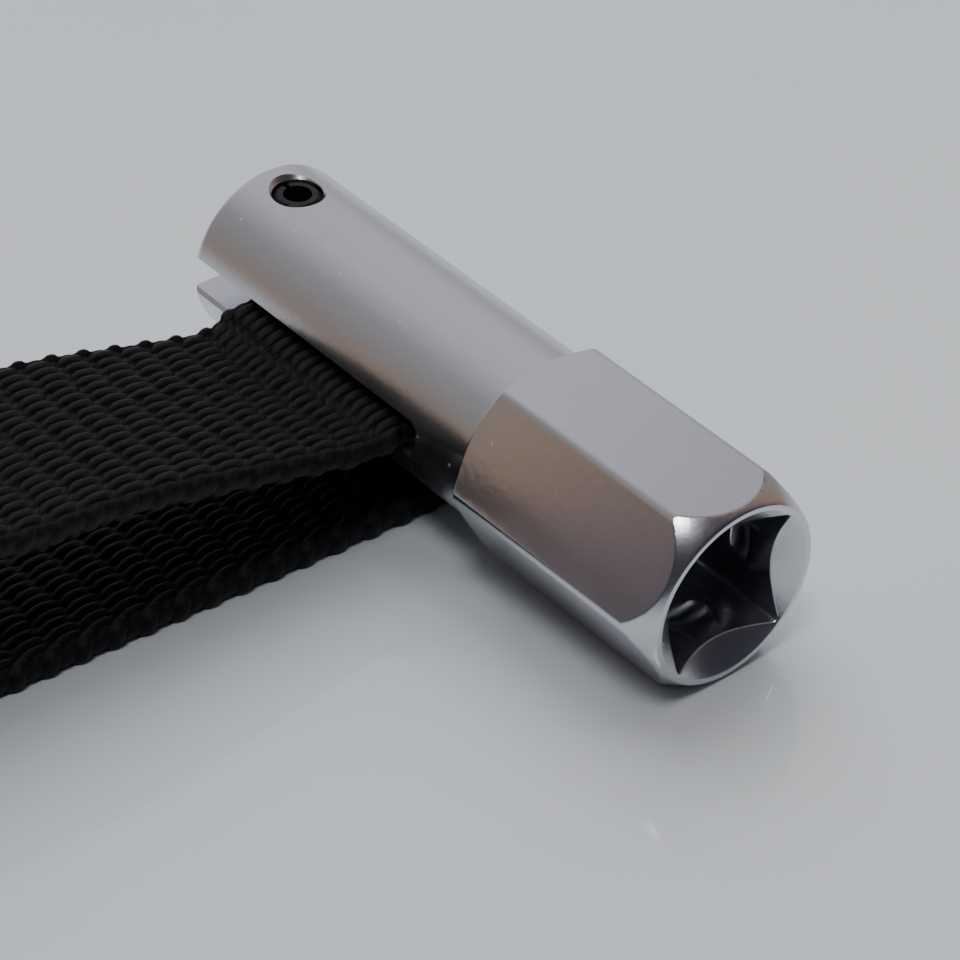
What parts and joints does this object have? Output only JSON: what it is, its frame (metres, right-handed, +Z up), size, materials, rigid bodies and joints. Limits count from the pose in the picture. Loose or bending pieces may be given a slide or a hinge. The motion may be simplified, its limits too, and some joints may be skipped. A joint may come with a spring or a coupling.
{
  "type": "strap oil filter wrench",
  "caption": "Strap wrench for oil filters: square-drive hex bar with a slotted shank, a cross pin and a sewn webbing loop.",
  "frame": {"origin": "on the bench, under the middle of the whole tool's box, with the tool lying as it rests", "axes": "+X along the bar towards its drive end, which points down by 3.7 degrees because the webbing lifts the slotted end; -Y from the bar out along the webbing loop; +Z up"},
  "size_m": [0.0764, 0.2586, 0.0363],
  "materials": {
    "chrome_plate": "bright chrome over a lightly ground steel surface, with fine pits and dust",
    "black_oxide": "black oxide spring steel, satin",
    "webbing": "heavy woven black webbing, thick ribs, slightly shiny yarns",
    "sewing_thread": "black bonded polyester sewing thread"
  },
  "bodies": {
    "bar": {"drive_bar": "chrome_plate", "spring_pin": "black_oxide", "strap_bight": "webbing"},
    "strap": {"strap_upper_run": "webbing", "strap_lower_run": "webbing"},
    "strap_end": {"strap_end_loop": "webbing", "strap_lap": "webbing", "seam_thread": "sewing_thread", "seam_bobbin_thread": "sewing_thread"}
  },
  "joints": [
    {"name": "strap_swing", "type": "hinge", "parent": "bar", "child": "strap", "pos_m": [-0.0115, 0.0995, 0.0066], "axis": [0.9979, 0, -0.0643], "range_deg": [-75, 75]},
    {"name": "strap_fold", "type": "hinge", "parent": "strap", "child": "strap_end", "pos_m": [-0.0181, -0.0105, 0.0134], "axis": [0.9982, -0.0593, 0], "range_deg": [-60, 60]}
  ]
}
